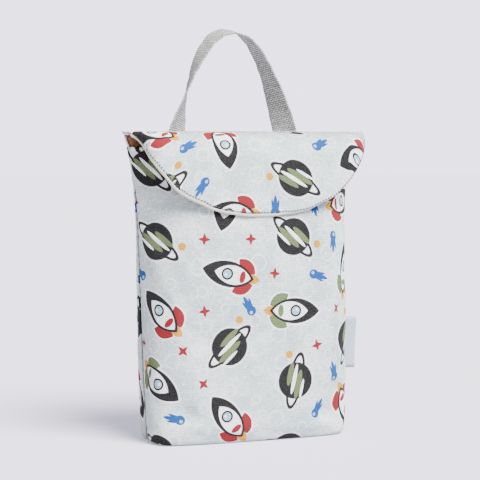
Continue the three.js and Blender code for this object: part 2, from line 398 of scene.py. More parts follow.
# %% Rows of a panel
ROW_PITCH = 4 * MM
ROUND_HEIGHTS = [0.25 * MM, 1.0 * MM, 2.2 * MM, 3.9 * MM]
RIM_MARGIN = 0.3 * MM
BACK_RIM_ROWS = (ROW_PITCH / 2, ROW_PITCH / 5)  # near the rim its free corners spread quickly
FRONT_RIM_DIP = 4 * MM
BACK_RIM_REACH = 1.7 * MM
BASE_ROWS = 4
BASE_NARROWING = 0.92


def rim_heights(top, away):
    if away > 0:
        return [top + BACK_RIM_REACH] * (PANEL_COLUMNS + 1)
    offs = [2 * c / PANEL_COLUMNS - 1 for c in range(PANEL_COLUMNS + 1)]
    return [top - FRONT_RIM_DIP * (1 - off * off) ** 2 for off in offs]


def base_row(first, floor, way):
    """A row across the base, part of the way from the seam under it to the first girth."""
    left, right = first[0], first[-1]
    row = []
    for c, point in enumerate(first):
        x = left.x + (right.x - left.x) * c / PANEL_COLUMNS
        row.append(Vector((x * BASE_NARROWING, (left.y + right.y) / 2, floor)).lerp(point, way))
    return row


def panel_rows(node, away, inside=False):
    """Rows of places for one panel, from the base seam up to its rim."""
    lowest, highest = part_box(node)
    top = highest.z - RIM_MARGIN
    count = round((top - BASE_ROUND) / ROW_PITCH)
    heights = [lowest.z + h for h in ROUND_HEIGHTS]
    heights += [BASE_ROUND + (top - BASE_ROUND) * k / count for k in range(count)]
    if away > 0:
        heights += [top - below for below in BACK_RIM_ROWS]
    lines = [girth(node, z, away, inside) for z in heights]
    rise = heights[-1] - heights[-2]
    rim = zip(lines[-2], lines[-1], rim_heights(top, away))
    lines.append([b + (b - a) / rise * (z - heights[-1]) for a, b, z in rim])
    return [base_row(lines[0], lowest.z, k / BASE_ROWS) for k in range(BASE_ROWS)] + lines


front_places = panel_rows("front_panel", -1)
back_places = panel_rows("back_panel", 1)
print("rows: front", len(front_places), "back", len(back_places))

# %% Panels
def flat_places(places):
    """The flat places of a panel in millimetres, counted from the middle of its base edge."""
    middle = len(places[0]) // 2
    ups = running_lengths([row[middle] for row in places])
    flats = []
    for row, up in zip(places, ups):
        lengths = running_lengths(row)
        flats.append([((s - lengths[middle]) / MM, up / MM) for s in lengths])
    return flats


front_flats, back_flats = flat_places(front_places), flat_places(back_places)
front = lay_cloth("front_cloth", front_places, front_flats)
back = lay_cloth("back_cloth", back_places, back_flats)
print("vertices: front", len(front.data.vertices), "back", len(back.data.vertices))

# %% [markdown]
# ## Slack in the cloth
# Sewn cloth is never as smooth as the form under it. A little simulation gives it that: the sewn edges
# are pinned, the cloth between them is made a little larger than its place, and it settles into low
# waves. How far a point may move is capped, so the panel keeps its measured outline.

# %% Pins
PIN_WIDTH = 3  # grid cells over which the sewn edge lets go
STANDING_HEIGHT = 9 * MM  # below this the cloth stands on its base


def pin_edges(piece, rows):
    group = piece.vertex_groups.new(name="sewn")
    for v in piece.data.vertices:
        row, column = divmod(v.index, PANEL_COLUMNS + 1)
        inset = min(row, rows - row, column, PANEL_COLUMNS - column)
        standing = v.co.z < STANDING_HEIGHT
        group.add([v.index], 1.0 if standing else max(0.0, 1.0 - inset / PIN_WIDTH), "REPLACE")
    return group


print("edges pinned over", PIN_WIDTH, "cells")

# %% Settling
SETTLE_FRAMES = 16
SLACK_CLOTH = {
    "quality": 6, "mass": 0.12, "tension_stiffness": 24, "compression_stiffness": 24,
    "shear_stiffness": 10, "bending_stiffness": 6, "shrink_min": -0.012,
    "use_pressure": True, "uniform_pressure_force": 0.25,
}
SLACK_GRAVITY = 0.15
MOST_MOVED = 3.0 * MM
MOST_SUNK = 1.5 * MM


def settle(piece, rows):
    """Runs cloth with some slack on a panel and applies the result, with the moves capped."""
    before = [v.co.copy() for v in piece.data.vertices]
    group = pin_edges(piece, rows)
    cloth = piece.modifiers.new("slack", "CLOTH")
    for key, value in SLACK_CLOTH.items():
        setattr(cloth.settings, key, value)
    cloth.settings.vertex_group_mass = group.name
    cloth.settings.effector_weights.gravity = SLACK_GRAVITY
    cloth.collision_settings.use_collision = False
    cloth.point_cache.frame_end = SETTLE_FRAMES
    for step in range(1, SETTLE_FRAMES + 1):
        bpy.context.scene.frame_set(step)
    settled = piece.evaluated_get(bpy.context.evaluated_depsgraph_get())
    after = [v.co.copy() for v in settled.data.vertices]
    piece.modifiers.remove(cloth)
    most = 0.0
    for v, old, new in zip(piece.data.vertices, before, after):
        move = new - old
        most = max(most, move.length)
        cap = MOST_SUNK if move.dot(v.normal) < 0 else MOST_MOVED
        v.co = old + move * min(1.0, cap / max(move.length, TINY))
    bpy.context.scene.frame_set(1)
    print(piece.name, "settled, largest move before the cap", round(most / MM, 2), "mm")


settle(front, len(front_places) - 1)
settle(back, len(back_places) - 1)

# %% [markdown]
# ## Puckers along the seams
# A sewing machine gathers the cloth a little at every stitch. The puckers are short ripples that fade
# out within a finger's width of the seam, and the edge itself is drawn in, which leaves the groove
# that shows as a seam. They are finer than the simulation's waves, so moves along the normals make
# them.

# %% Puckers
PANEL_CLOTH = 1.6 * MM
PUCKER_PITCH, PUCKER_HEIGHT, PUCKER_REACH = 7.5 * MM, 0.32 * MM, 9 * MM
PUCKER_SWAY, PUCKER_SWAY_SIZE = 3, 30 * MM
GROOVE_DEPTH, GROOVE_REACH = 0.9 * MM, 2.2 * MM
BASE_PITCH, BASE_HEIGHT, BASE_REACH = 11 * MM, 0.25 * MM, 8 * MM
BASE_SWAY, BASE_SWAY_SIZE = 4, 25 * MM


def pucker(piece):
    piece.data.update()
    normals = [v.normal.copy() for v in piece.data.vertices]
    coords = [v.co.copy() for v in piece.data.vertices]
    for v, normal, co in zip(piece.data.vertices, normals, coords):
        first = v.index // (PANEL_COLUMNS + 1) * (PANEL_COLUMNS + 1)
        side = min((co - coords[first]).length, (co - coords[first + PANEL_COLUMNS]).length)
        sway = PUCKER_SWAY * noise.noise(co / PUCKER_SWAY_SIZE)
        wave = math.sin(2 * math.pi * co.z / PUCKER_PITCH + sway)
        move = PUCKER_HEIGHT * wave * math.exp(-side / PUCKER_REACH)
        move -= GROOVE_DEPTH * math.exp(-side / GROOVE_REACH)
        if co.z > BASE_ROUND:
            sway = BASE_SWAY * noise.noise(co / BASE_SWAY_SIZE)
            ripple = math.sin(2 * math.pi * co.x / BASE_PITCH + sway)
            move += BASE_HEIGHT * ripple * math.exp(-(co.z + 0.5 * BASE_ROUND) / BASE_REACH)
        v.co = co + normal * move
        v.co.z = max(v.co.z, 0.0)
    piece.data.update()


for panel in (front, back):
    pucker(panel)
    add_thickness(panel, PANEL_CLOTH, inner_finish=1)
print("puckers every", PUCKER_PITCH / MM, "mm")

# %% [markdown]
# ## The lining
# The lining shows only at the open corner of the mouth. It is measured from inside, by rays that go
# outwards and stop at the first cloth, and then eased in a little, clear of the panels' waves.

# %% Lining
LINING_EASE = 3.5 * MM
LINING_CLOTH = 0.8 * MM

linings, lining_grids = [], []


def eased(point):
    inwards = Vector((0, AXIS_Y, point.z)) - point
    return point + inwards.normalized() * LINING_EASE


for side, away in (("front", -1), ("back", 1)):
    lining_rows = panel_rows(f"{side}_lining", away, inside=True)
    lining_places = [[eased(point) for point in row[::-1]] for row in lining_rows]
    lining_flats = flat_places(lining_places)
    lining = lay_cloth(f"{side}_lining_cloth", lining_places, lining_flats)
    add_thickness(lining, LINING_CLOTH)
    linings.append(lining)
    lining_grids.append((lining_places, lining_flats))
print("lining pieces:", [piece.name for piece in linings])

# %% [markdown]
# ## The flap
# The flap is a D of stiffened cloth that is sewn to the back rim, crosses the mouth and hangs over the
# front. It is measured in slices: at each place across the bag, rays come in all round a line under
# the flap, from the hem over the crown to the back edge. A part of each slice is cut off at the hem,
# for the edge's roll and because the real hem runs a little flatter than the solid's.

# %% The hem's course
HEM_TURN = 2.8 * MM  # the width that the rolled edge takes up, up to where it turns under
TURN_UNDER = (12 * MM, 58 * MM)  # across the flap
HEM_RISE = 5.0 * MM  # between the hem's two ends
RISE_ENDS = (60 * MM, 90 * MM)


def eased_step(value, ends):
    """0 before the first end, 1 after the second, and a smooth rise between them."""
    way = min(1.0, max(0.0, (value - ends[0]) / (ends[1] - ends[0])))
    return way * way * (3 - 2 * way)


def turned_out(x):
    """How far the edge's roll shows: 1 from the left end to the middle, 0 towards the right end."""
    return 1 - eased_step(x, TURN_UNDER)


def hem_cut(x):
    return HEM_TURN * turned_out(x) + HEM_RISE * (1 - eased_step(abs(x), RISE_ENDS))


print("cut off at the middle of the hem:", round(hem_cut(0.0) / MM, 2), "mm")

# %% Flap slices
FLAP_COLUMNS = 72
FLAP_ROWS = 40
FLAP_CROWDING = 1.36  # columns crowd towards the corners
FLAP_MARGIN = 0.6 * MM
SLICE_MIDDLE = (-8 * MM, 262 * MM)
SLICE_ANGLES = (math.radians(246), math.radians(24))
SLICE_STEPS = 560


def flap_slice(x):
    middle = Vector((x, *SLICE_MIDDLE))
    line = []
    for k in range(SLICE_STEPS + 1):
        angle = SLICE_ANGLES[0] + (SLICE_ANGLES[1] - SLICE_ANGLES[0]) * k / SLICE_STEPS
        hit = first_hit(trees["flap"], middle, -Vector((0, math.cos(angle), math.sin(angle))))
        if hit:
            line.append(hit)
    cut = hem_cut(x)
    line = [p for p, along in zip(line, running_lengths(line)) if along >= cut]
    return spaced(line, FLAP_ROWS)


flap_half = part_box("flap")[1].x - FLAP_MARGIN
flap_turns = [FLAP_CROWDING * (2 * k / FLAP_COLUMNS - 1) for k in range(FLAP_COLUMNS + 1)]
slices = [flap_slice(flap_half * (math.sin(turn) / math.sin(FLAP_CROWDING))) for turn in flap_turns]
print("flap, back edge to hem:", round(max(running_lengths(line)[-1] for line in slices), 4), "m")

# %% Flap
CORNER_START = 110 * MM  # from here the left corner is drawn in, and shows the lining behind it
CORNER_TUCK = 6.5 * MM
CROWN_DEPTH = 16 * MM

for line in slices:
    tucked = eased_step(-line[0].x, (CORNER_START, flap_half))
    for point in line:
        point.x += CORNER_TUCK * min(1.0, max(0.0, -point.y / CROWN_DEPTH)) * tucked
flap_places, flap_flats = list(zip(*slices)), []
slice_lengths = [running_lengths(line) for line in slices]
for r, row in enumerate(flap_places):
    downs = [lengths[r] - lengths[-1] for lengths in slice_lengths]
    flap_flats.append([(point.x / MM, down / MM) for point, down in zip(row, downs)])
flap = lay_cloth("flap_cloth", flap_places, flap_flats)
print("flap grid", len(flap_places), "x", len(flap_places[0]))

# %% [markdown]
# ## The handle's course
# The carry loop is flat webbing, sewn flat to the back and turned a quarter turn on its way to the
# top. Its middle line and its width are read from the solid ring by ring, walking from one end along
# the edges. A curve with a tilt could give the same twist, but it would have to be fitted by hand.

# %% Rings of the loop
WELD = 1e-6
END_SPAN = 26 * MM  # the vertices of the first ring lie within this of each other
END_RISE = 3 * MM


def walked_rings(solid):
    """The loop's rings of vertices, from its left end on."""
    start = min(solid.verts, key=lambda v: (round(v.co.z, 4), v.co.x)).co
    near = [v for v in solid.verts if (v.co - start).length < END_SPAN and v.co.x < 0]
    ring = {v for v in near if v.co.z < start.z + END_RISE}
    walked, found = set(ring), []
    while ring:
        found.append(ring)
        ring = {e.other_vert(v) for v in ring for e in v.link_edges} - walked
        walked |= ring
    return found


handle_solid = solid_form("handle")
bmesh.ops.remove_doubles(handle_solid, verts=handle_solid.verts, dist=WELD)
strap_middles, strap_acrosses = [], []
last_across = Vector((1, 0, 0))
for ring in walked_rings(handle_solid):
    points = [v.co.copy() for v in ring]
    pairs = ((p, q) for p in points for q in points)
    a, b = max(pairs, key=lambda pair: (pair[0] - pair[1]).length)
    across = (b - a).normalized()
    last_across = -across if across.dot(last_across) < 0 else across
    strap_middles.append(sum(points, Vector()) / len(points))
    strap_acrosses.append(last_across)
handle_solid.free()
print("rings:", len(strap_middles), "first", tuple(round(x, 3) for x in strap_middles[0]))

# %% [markdown]
# ## The handle's webbing
# The webbing is a long narrow grid between the rings, like every other cloth here, so its weave runs
# along the strap through the twist. It is thickened to both sides of its middle line.

# %% Handle webbing
STRAP_COLUMNS = 10
STRAP_ROWS = 170
STRAP_HALF = 12.4 * MM
STRAP_CLOTH = 1.7 * MM

strap_offsets = [2 * c / STRAP_COLUMNS - 1 for c in range(STRAP_COLUMNS + 1)]
strap_places, strap_flats = [], []
for along, i, way in even_steps(strap_middles, STRAP_ROWS):
    middle = strap_middles[i].lerp(strap_middles[i + 1], way)
    across = strap_acrosses[i].lerp(strap_acrosses[i + 1], way).normalized()
    strap_places.append([middle + across * STRAP_HALF * o for o in strap_offsets])
    strap_flats.append([(o * STRAP_HALF / MM, along / MM) for o in strap_offsets])
strap_length = running_lengths(strap_middles)[-1]
strap = lay_cloth("handle_webbing", strap_places, strap_flats)
add_thickness(strap, STRAP_CLOTH, offset=0.0)
print("webbing length:", round(strap_length, 3), "m")

# %% [markdown]
# ## The flap's rolled edge
# The flap is two layers, sewn face to face and turned, so its edge is a soft roll that is a little
# thicker than the flap. It shows along the left and the middle of the hem, and turns under towards the
# right. The roll is a tube along the hem, a grid that is wrapped round a line and welded shut, sunk
# into the cloth's thickness.

# %% A tube along a line
TUBE_WELD = 1e-7
TUBE_END = 0.45  # the ends are drawn in to this part of the radius


def tube(name, path, radius, sides):
    """A round tube along a path, with closed ends."""
    turns = [2 * math.pi * k / sides for k in range(sides + 1)]
    places, flats = [], []
    lengths = running_lengths(path)
    side = Vector((0, 1, 0))
    for i, middle in enumerate(path):
        along = (path[min(i + 1, len(path) - 1)] - path[max(i - 1, 0)]).normalized()
        side = (side - along * along.dot(side)).normalized()
        up = along.cross(side)
        reach = radius * TUBE_END if i in (0, len(path) - 1) else radius
        places.append([middle + (side * math.cos(t) + up * math.sin(t)) * reach for t in turns])
        flats.append([(t * radius / MM, lengths[i] / MM) for t in turns])
    piece = lay_cloth(name, places, flats)
    form = bmesh.new()
    form.from_mesh(piece.data)
    bmesh.ops.remove_doubles(form, verts=form.verts, dist=TUBE_WELD)
    bmesh.ops.holes_fill(form, edges=[e for e in form.edges if e.is_boundary], sides=sides)
    bmesh.ops.recalc_face_normals(form, faces=form.faces)
    form.to_mesh(piece.data)
    form.free()
    return piece


print("tube ends drawn in to", TUBE_END)

# %% Rolled edge
FLAP_CLOTH = 2.2 * MM
ROLL_RADIUS = 2.0 * MM
ROLL_SINK = 1.2 * MM  # below the middle of the flap's cloth
ROLL_OUT, ROLL_UNDER = 0.8 * MM, 1.5 * MM  # out from the hem where it shows, in from it elsewhere
ROLL_SIDES = 8
ROLL_STEPS = 170
ROLL_ROUNDS = 3


def cloth_normal(grid, row, column):
    rows, columns = len(grid) - 1, len(grid[0]) - 1
    across = grid[row][min(column + 1, columns)] - grid[row][max(column - 1, 0)]
    up = grid[min(row + 1, rows)][column] - grid[max(row - 1, 0)][column]
    return across.cross(up).normalized()


def inside_hem(inset, depth):
    """The hem's line, moved in from the edge by inset(x) and down into the cloth."""
    hem, line = flap_places[0], []
    for c, place in enumerate(hem):
        along = hem[min(c + 1, FLAP_COLUMNS)] - hem[max(c - 1, 0)]
        normal = cloth_normal(flap_places, 0, c)
        line.append(place + normal.cross(along).normalized() * inset(place.x) - normal * depth)
    return line


def roll_inset(x):
    return ROLL_UNDER - (ROLL_UNDER + ROLL_OUT) * turned_out(x)


add_thickness(flap, FLAP_CLOTH, inner_finish=1)
roll_line = spaced(inside_hem(roll_inset, FLAP_CLOTH / 2 + ROLL_SINK), ROLL_STEPS)
roll_line = softened(roll_line, ROLL_ROUNDS)
flap_roll = tube("flap_roll", roll_line, ROLL_RADIUS, ROLL_SIDES)
print("rolled edge:", round(running_lengths(roll_line)[-1], 3), "m")

# %% [markdown]
# ## The flap's topstitch
# A row of stitches holds the turned edge flat. Each stitch is a small rounded grain of a few faces,
# turned along the hem and pressed a little into the cloth. All of them are added to one mesh, because
# hundreds of objects would be slow.

# %% Topstitch
STITCH_PITCH = 3.2 * MM
STITCH = Vector((1.35, 0.56, 0.36)) * MM  # half length, half width, half height
STITCH_LIFT = 0.1 * MM
HEM_STITCH_INSET = 1.2 * MM


def stitch_row(form, places):
    """Adds a stitch at each place and normal of a row, turned along it and lying on the cloth."""
    shape = Matrix.Diagonal((*STITCH, 1.0))
    for i, (place, up) in enumerate(places):
        along = places[min(i + 1, len(places) - 1)][0] - places[max(i - 1, 0)][0]
        along = (along - up * along.dot(up)).normalized()
        turn = Matrix((along, up.cross(along), up)).transposed().to_4x4()
        matrix = Matrix.Translation(place) @ turn @ shape
        bmesh.ops.create_uvsphere(form, u_segments=6, v_segments=5, radius=1.0, matrix=matrix)


stitch_line = inside_hem(lambda x: HEM_STITCH_INSET, 0.0)[2:-2]
stitch_line = spaced(stitch_line, round(running_lengths(stitch_line)[-1] / STITCH_PITCH))
on_flap = [trees["flap"].find_nearest(point)[:2] for point in stitch_line]
topstitch_form = bmesh.new()
stitch_row(topstitch_form, [(place + up * STITCH_LIFT, up) for place, up in on_flap])
topstitch = finished("flap_topstitch", topstitch_form)
print("stitches along the hem:", len(on_flap))

# %% [markdown]
# ## The loop's sewn ends
# Each end of the carry loop is sewn to the back with a box and a cross, which spreads the pull over
# many threads. The stitches lie on the webbing's outer face, in lines between the corners of a square.

# %% Places on the webbing
STRAP_SURFACE = 0.95 * MM  # from the middle of the webbing


def strap_place(along, aside):
    """A place on the webbing's outer face, by distance from its first end and its middle line."""
    at = along / strap_length * STRAP_ROWS
    low = min(int(at), STRAP_ROWS - 1)
    column = (aside / STRAP_HALF + 1) / 2 * STRAP_COLUMNS
    left = min(int(column), STRAP_COLUMNS - 1)
    a, b = (row[left].lerp(row[left + 1], column - left) for row in strap_places[low:low + 2])
    normal = cloth_normal(strap_places, low, left)
    normal = normal if normal.y > 0 else -normal
    return a.lerp(b, at - low) + normal * STRAP_SURFACE, normal


print("half way round:", tuple(round(x, 3) for x in strap_place(strap_length / 2, 0.0)[0]))

# %% Box stitches
BOX_HALF = 8.6 * MM
BOX_NEAR, BOX_FAR = 4 * MM, 19 * MM  # from the webbing's end
BOX_CORNERS = ((BOX_NEAR, -BOX_HALF), (BOX_NEAR, BOX_HALF), (BOX_FAR, BOX_HALF), (BOX_FAR, -BOX_HALF))
BOX_RUNS = ((0, 1), (1, 2), (2, 3), (3, 0), (0, 2), (1, 3))  # from corner to corner

box_form = bmesh.new()
for flip in (False, True):
    for first, last in BOX_RUNS:
        start, end = Vector(BOX_CORNERS[first]), Vector(BOX_CORNERS[last])
        count = round((end - start).length / STITCH_PITCH)
        points = [start.lerp(end, (k + 0.5) / count) for k in range(count)]
        places = [strap_place(strap_length - p.x if flip else p.x, p.y) for p in points]
        stitch_row(box_form, places)
box_stitches = finished("handle_box_stitches", box_form)
print("box stitch faces:", len(box_stitches.data.polygons))

# %% [markdown]
# ## The label
# A folded satin tape is caught in the side seam. The solid already has the fold, so a welded copy of
# it is cut into finer faces and given the slight curl that a tape takes in a packet.

# %% Label
FLAT_ENOUGH = 0.02  # radians
LABEL_STRIPS = {2: 12, 0: 7}  # by axis, up the tape and out along it
LABEL_CURL = 1.4 * MM
CURL_PHASE = 0.4

label_low, label_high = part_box("side_label")
label_size = label_high - label_low
label_form = solid_form("side_label")
bmesh.ops.remove_doubles(label_form, verts=label_form.verts, dist=WELD)
bmesh.ops.dissolve_limit(
    label_form, angle_limit=FLAT_ENOUGH, verts=label_form.verts, edges=label_form.edges
)
for axis, strips in LABEL_STRIPS.items():
    normal = Vector((0, 0, 0))
    normal[axis] = 1
    for k in range(1, strips):
        whole = label_form.verts[:] + label_form.edges[:] + label_form.faces[:]
        cut = normal * (label_low[axis] + label_size[axis] * k / strips)
        bmesh.ops.bisect_plane(label_form, geom=whole, plane_co=cut, plane_no=normal)
label_uv = label_form.loops.layers.uv.new("Cloth")
for face in label_form.faces:
    for loop in face.loops:
        loop[label_uv].uv = ((loop.vert.co - label_low) / MM).xz
for v in label_form.verts:
    out, up = (v.co.x - label_low.x) / label_size.x, (v.co.z - label_low.z) / label_size.z
    v.co.y += LABEL_CURL * out * out * math.sin(math.pi * up + CURL_PHASE)
label = finished("side_label_tape", label_form)
print("label, reach and height:", round(label_size.x, 4), round(label_size.z, 4))

# %% [markdown]
# ## Groups
# A group is a graph with named inputs and outputs that several materials can share. These helpers
# start one, use one, and add the vector nodes that the groups below are made of.

# %% Groups
def new_group(name, takes, gives):
    """A new group, its inputs by name and the node that its outputs are fed to."""
    group = bpy.data.node_groups.new(name, "ShaderNodeTree")
    for way, sockets in (("INPUT", takes), ("OUTPUT", gives)):
        for socket, kind in sockets.items():
            group.interface.new_socket(socket, in_out=way, socket_type="NodeSocket" + kind)
    return group, group.nodes.new("NodeGroupInput").outputs, group.nodes.new("NodeGroupOutput")


def use(group, feeds):
    return put("Group", feeds, node_tree=group)


# %% Vectors and mixes
def vectors(operation, a, b=(0, 0, 0)):
    return put("VectorMath", {0: a, 1: b}, operation=operation)[0]


def size_of(vector):
    return put("VectorMath", {0: vector}, operation="LENGTH")["Value"]


def parts(vector):
    return put("SeparateXYZ", {0: vector})


def together(x, y, z=0.0):
    return put("CombineXYZ", {0: x, 1: y, 2: z})[0]


def spun(vector, angle):
    return put("VectorRotate", {"Vector": vector, "Angle": angle}, rotation_type="Z_AXIS")[0]


def drawn(vector):
    """Chances that depend on a vector alone."""
    return put("TexWhiteNoise", {"Vector": vector}, noise_dimensions="3D")


def masked(value, start, end, low=0.0, high=1.0):
    """low where the value is at start, high where it is at end, and a straight way between them."""
    feeds = {"Value": value, "From Min": start, "From Max": end, "To Min": low, "To Max": high}
    return put("MapRange", feeds)[0]


def blend(mask, a, b):
    return put("Mix", {0: mask, 2: a, 3: b})[0]


def paint(under, over, mask):
    return put("Mix", {0: mask, 6: under, 7: over}, data_type="RGBA")[2]


# %% [markdown]
# ## Weave
# Printed cloth, lining, webbing and tape are all woven, only at other pitches. In a plain weave the
# threads across and the threads along take turns on top, like a chequered board of small humps. One
# group makes that board from the cloth's flat places. A second one paints shade into a colour by it,
# darker between the threads, and makes the colour a little different from thread to thread.

# %% Weave group
weave, weave_in, weave_gives = new_group(
    "Plain weave", {"Flat": "Vector", "Pitch": "Vector"}, {"Height": "Float", "Thread": "Float"}
)
thread_count = vectors("DIVIDE", weave_in["Flat"], weave_in["Pitch"])
thread_number = vectors("FLOOR", thread_count)
numbers, within = parts(thread_number), parts(vectors("FRACTION", thread_count))
turn_taken = sums("ABSOLUTE", sums("MODULO", sums("ADD", numbers[0], numbers[1]), 2.0))
humps = [sums("SINE", sums("MULTIPLY", within[k], math.pi)) for k in (0, 1)]
feed(weave_gives, {"Height": blend(turn_taken, *humps), "Thread": drawn(thread_number)["Value"]})
print("weave nodes:", len(weave.nodes))

# %% Thread shading group
# painted shade: the colour that the dips between the threads are darkened towards
SHADE_BETWEEN_THREADS = (0.05, 0.05, 0.05, 1)
THREAD_SHARE = 0.6  # how much the threads differ, as a share of the contrast
SMOOTHER, ROUGHER = -0.08, 0.06

shading, shading_in, shading_gives = new_group(
    "Thread shading",
    {"Colour": "Color", "Height": "Float", "Thread": "Float", "Contrast": "Float", "Roughness": "Float"},
    {"Colour": "Color", "Roughness": "Float"},
)
# painted shade, deeper where the weave dips between its threads
depth = sums("MULTIPLY", sums("SUBTRACT", 1.0, shading_in["Height"]), shading_in["Contrast"])
unlike = sums("MULTIPLY", shading_in["Thread"], sums("MULTIPLY", shading_in["Contrast"], THREAD_SHARE))
least, most = (sums("ADD", shading_in["Roughness"], step) for step in (SMOOTHER, ROUGHER))
feed(shading_gives, {
    "Colour": paint(shading_in["Colour"], SHADE_BETWEEN_THREADS, sums("ADD", depth, unlike)),
    "Roughness": masked(shading_in["Thread"], 0.0, 1.0, least, most),
})
print("thread shading nodes:", len(shading.nodes))

# %% [markdown]
# ## A tossed print
# Nursery cloth is printed with small motifs tossed at all angles. A half-drop layout keeps them even:
# the cloth is counted off into cells, every second column of cells is dropped by half, and each cell
# turns its motif by its own chance. The chance comes from the cell's numbers, so it is the same every
# time.

# %% Tossed cells
SECOND_CHANCE = (31, 17, 5)  # steps to another number for the same cell

tossed, tossed_in, tossed_gives = new_group(
    "Tossed cells",
    {"Flat": "Vector", "Shift": "Vector", "Cell": "Float", "Jitter": "Float", "Seed": "Float"},
    {"Spot": "Vector", "Pick": "Float", "Tint": "Float"},
)
shifted = vectors("SUBTRACT", tossed_in["Flat"], tossed_in["Shift"])
cell_size = together(tossed_in["Cell"], tossed_in["Cell"], 1.0)
cell_count = parts(vectors("DIVIDE", shifted, cell_size))
cell_column = sums("FLOOR", cell_count[0])
drop = sums("MULTIPLY", sums("MODULO", cell_column, 2.0), 0.5)
dropped = sums("ADD", cell_count[1], drop)
cell_number = together(cell_column, sums("FLOOR", dropped), tossed_in["Seed"])
chance, second = drawn(cell_number), drawn(vectors("ADD", cell_number, SECOND_CHANCE))
centred = together(*(sums("SUBTRACT", sums("FRACT", at), 0.5) for at in (cell_count[0], dropped)))
centred = vectors("MULTIPLY", centred, cell_size)
nudge = vectors("MULTIPLY", vectors("SUBTRACT", chance["Color"], (0.5, 0.5, 0.5)), (2, 2, 0))
jitter = together(tossed_in["Jitter"], tossed_in["Jitter"], 0.0)
spot = vectors("SUBTRACT", centred, vectors("MULTIPLY", nudge, jitter))
feed(tossed_gives, {
    "Spot": spun(spot, sums("MULTIPLY", chance["Value"], 2 * math.pi)),
    "Pick": second["Value"],
    "Tint": parts(second["Color"])[0],
})
print("tossed cell nodes:", len(tossed.nodes))

# %% [markdown]
# ## Motifs of ovals
# A small printed motif can be built like a paper cut-out, from ovals laid over each other. One group
# makes the mask of an oval, round or pointed like a leaf. A motif is then a table of ovals from the
# bottom up, and a new one needs no drawing program.

# %% Oval group
OVAL_EDGE = (1.03, 0.97)  # from outside the oval to inside it

oval, oval_in, oval_gives = new_group(
    "Oval",
    {"Spot": "Vector", "Centre": "Vector", "Radii": "Vector", "Turn": "Float", "Pointed": "Float"},
    {"Mask": "Float"},
)
from_centre = vectors("SUBTRACT", oval_in["Spot"], oval_in["Centre"])
in_radii = vectors("DIVIDE", spun(from_centre, oval_in["Turn"]), oval_in["Radii"])
aside, ahead, _ = parts(in_radii)
leaf = sums("ADD", sums("ABSOLUTE", aside), sums("MULTIPLY", ahead, ahead))
reached = blend(oval_in["Pointed"], size_of(in_radii), leaf)
feed(oval_gives, {"Mask": masked(reached, *OVAL_EDGE)})
print("oval nodes:", len(oval.nodes))

# %% Motif maker
CHARCOAL = (0.004, 0.0038, 0.005, 1)
WHITE = (0.84, 0.84, 0.86, 1)
RED = (0.21, 0.005, 0.010, 1)
SAGE = (0.105, 0.14, 0.055, 1)
BLUE = (0.0005, 0.058, 0.25, 1)
YELLOW = (0.52, 0.24, 0.010, 1)
SKY = (0.28, 0.42, 0.50, 1)
ACCENT = "Accent"


def motif(name, ovals):
    """A group that paints ovals over each other: centre, radii, turn, how pointed, and colour."""
    group, takes, gives = new_group(
        name, {"Spot": "Vector", "Accent": "Color"}, {"Colour": "Color", "Mask": "Float"}
    )
    colour, covered = WHITE, 0.0
    for centre, radii, turn, pointed, tint in ovals:
        place = {"Spot": takes["Spot"], "Centre": (*centre, 0), "Radii": (*radii, 1)}
        mask = use(oval, {**place, "Turn": turn, "Pointed": pointed})[0]
        colour = paint(colour, takes["Accent"] if tint == ACCENT else tint, mask)
        covered = sums("MAXIMUM", covered, mask)
    feed(gives, {"Colour": colour, "Mask": covered})
    print(name, "has", len(ovals), "ovals")
    return group


# %% Large motifs, in millimetres
rocket = motif("Rocket", [
    ((0, 1), (12.4, 25.4), 0, 0.6, WHITE),
    ((-9.5, -14), (6.6, 11.4), -0.5, 0.8, WHITE),
    ((9.5, -14), (6.6, 11.4), 0.5, 0.8, WHITE),
    ((0, -21), (4.2, 7.4), 0, 1, YELLOW),
    ((-9.5, -14), (5.2, 9.8), -0.5, 0.8, ACCENT),
    ((9.5, -14), (5.2, 9.8), 0.5, 0.8, ACCENT),
    ((0, 1), (11, 23.6), 0, 0.6, CHARCOAL),
    ((0, -3), (8, 16.4), 0, 0.6, WHITE),
    ((0, -12), (5.2, 2.6), 0, 0, ACCENT),
    ((0, 2), (5.2, 5.2), 0, 0, CHARCOAL),
    ((0, 2), (3.6, 3.6), 0, 0, SKY),
    ((-1.1, 3.2), (1.2, 1.2), 0, 0, WHITE),
])
planet = motif("Planet", [
    ((0, 0), (17.2, 17.2), 0, 0, WHITE),
    ((0, 0), (26.6, 8.6), -0.35, 0, WHITE),
    ((0, 0), (25.4, 7.4), -0.35, 0, CHARCOAL),
    ((0, 0), (21.6, 4.9), -0.35, 0, WHITE),
    ((0, 0), (16, 16), 0, 0, CHARCOAL),
    ((2.6, 7.2), (10.4, 2.5), -0.35, 0, ACCENT),
    ((0.6, 1.6), (13.2, 1.8), -0.35, 0, WHITE),
    ((-1.4, -4), (12.6, 2.8), -0.35, 0, ACCENT),
    ((-3.2, -9), (8.6, 1.3), -0.35, 0, WHITE),
    ((16.5, 17.5), (3.4, 3.4), 0, 0, YELLOW),
])

# %% Small motifs, in millimetres
comet = motif("Comet", [
    ((5.8, 0), (8.6, 2.0), 0, 0, BLUE),
    ((4.6, 2.2), (6.4, 1.2), -0.18, 0, BLUE),
    ((4.6, -2.2), (6.4, 1.2), 0.18, 0, BLUE),
    ((0, 0), (4.4, 4.2), 0, 0, BLUE),
    ((-1.2, 0.9), (1.5, 1.4), 0, 0, SKY),
])
star = motif("Star", [
    ((0, 0), (1.7, 5.4), 0, 1, ACCENT),
    ((0, 0), (1.7, 5.4), math.pi / 2, 1, ACCENT),
    ((0, 0), (1.8, 1.8), 0, 0, ACCENT),
])
